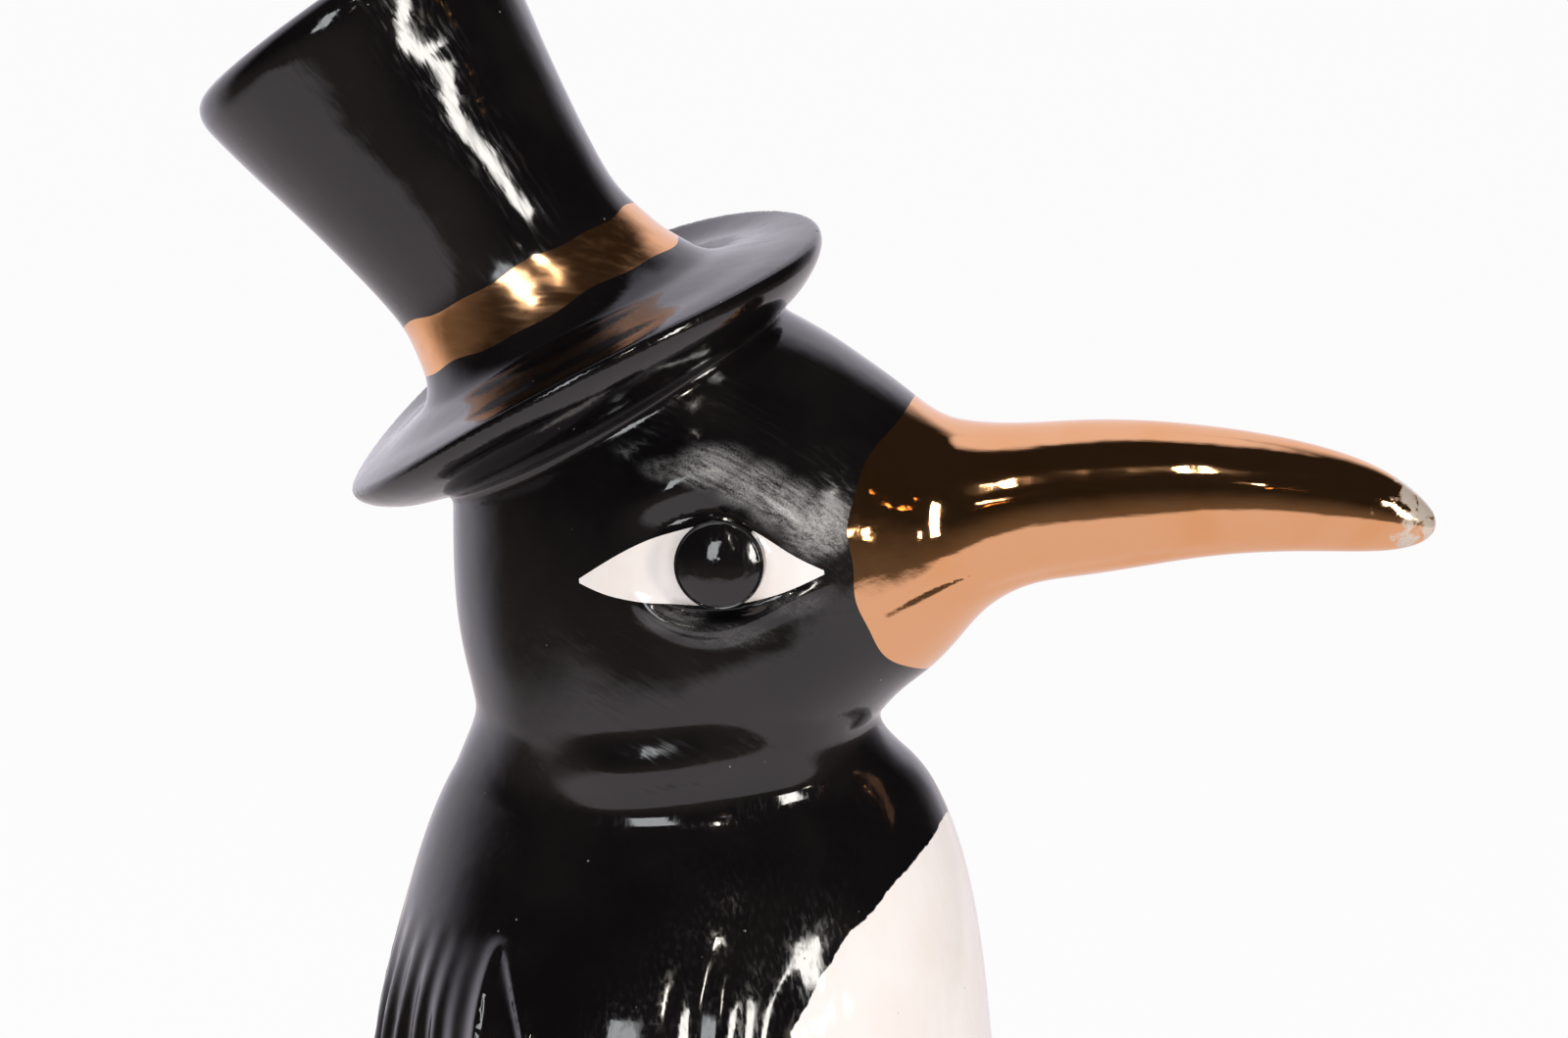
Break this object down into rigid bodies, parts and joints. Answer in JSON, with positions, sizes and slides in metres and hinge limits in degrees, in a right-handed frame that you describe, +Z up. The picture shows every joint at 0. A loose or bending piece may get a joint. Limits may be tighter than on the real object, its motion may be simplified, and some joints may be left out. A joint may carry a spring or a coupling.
{
  "type": "penguin figurine",
  "caption": "Hollow glazed ceramic penguin in a tilted top hat with a gilded beak, hat band and feet; a free-standing ornament that rests on its flat base.",
  "frame": {"origin": "middle of the flat underside, on the surface that the figurine stands on", "axes": "+Z up through the hat, +X the way the beak points, +Y to the figurine's left"},
  "size_m": [0.1672, 0.0992, 0.2719],
  "materials": {
    "black_glaze": "glossy black glaze with fine brush marks",
    "body_glaze": "glossy black glaze with a white glazed breast",
    "white_glaze": "glossy warm white glaze",
    "gold_lustre": "mirror-bright gold lustre over glaze",
    "bare_clay": "matt unglazed clay"
  },
  "bodies": {
    "root": {"body": "body_glaze", "base_disc": "bare_clay", "head": "black_glaze", "beak": "gold_lustre", "right_eye_white": "white_glaze", "left_eye_white": "white_glaze", "right_pupil": "black_glaze", "left_pupil": "black_glaze", "hat_brim": "black_glaze", "hat_crown": "black_glaze", "hat_band": "gold_lustre", "right_flipper": "black_glaze", "left_flipper": "black_glaze", "right_foot": "gold_lustre", "left_foot": "gold_lustre", "tail": "black_glaze"}
  },
  "joints": []
}
